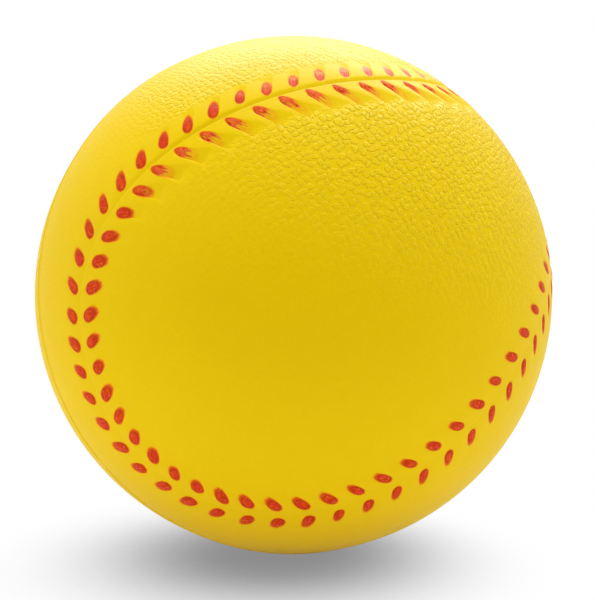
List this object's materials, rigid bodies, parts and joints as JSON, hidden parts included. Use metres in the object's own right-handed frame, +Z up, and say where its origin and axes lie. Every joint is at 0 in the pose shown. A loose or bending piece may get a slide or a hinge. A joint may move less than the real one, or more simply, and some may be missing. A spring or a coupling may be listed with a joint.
{
  "type": "practice baseball",
  "caption": "Moulded foam practice ball with a foam core, a dense pebbled skin, a creased seam and slanted painted stitches in relief.",
  "frame": {"origin": "centre of the ball", "axes": "+Z up as the ball lies, -Y towards the viewer, who faces the front lobe of the seam, +X to that viewer's right"},
  "size_m": [0.072, 0.072, 0.072],
  "materials": {
    "skin": "soft moulded polyurethane skin with a leather-like pebble grain, satin",
    "core": "cellular polyurethane foam",
    "stitch_paint": "sprayed red paint, satin"
  },
  "bodies": {
    "root": {"foam_core": "core", "front_skin": "skin", "back_skin": "skin", "front_inner_stitches": "stitch_paint", "front_outer_stitches": "stitch_paint", "back_inner_stitches": "stitch_paint", "back_outer_stitches": "stitch_paint"}
  },
  "joints": []
}
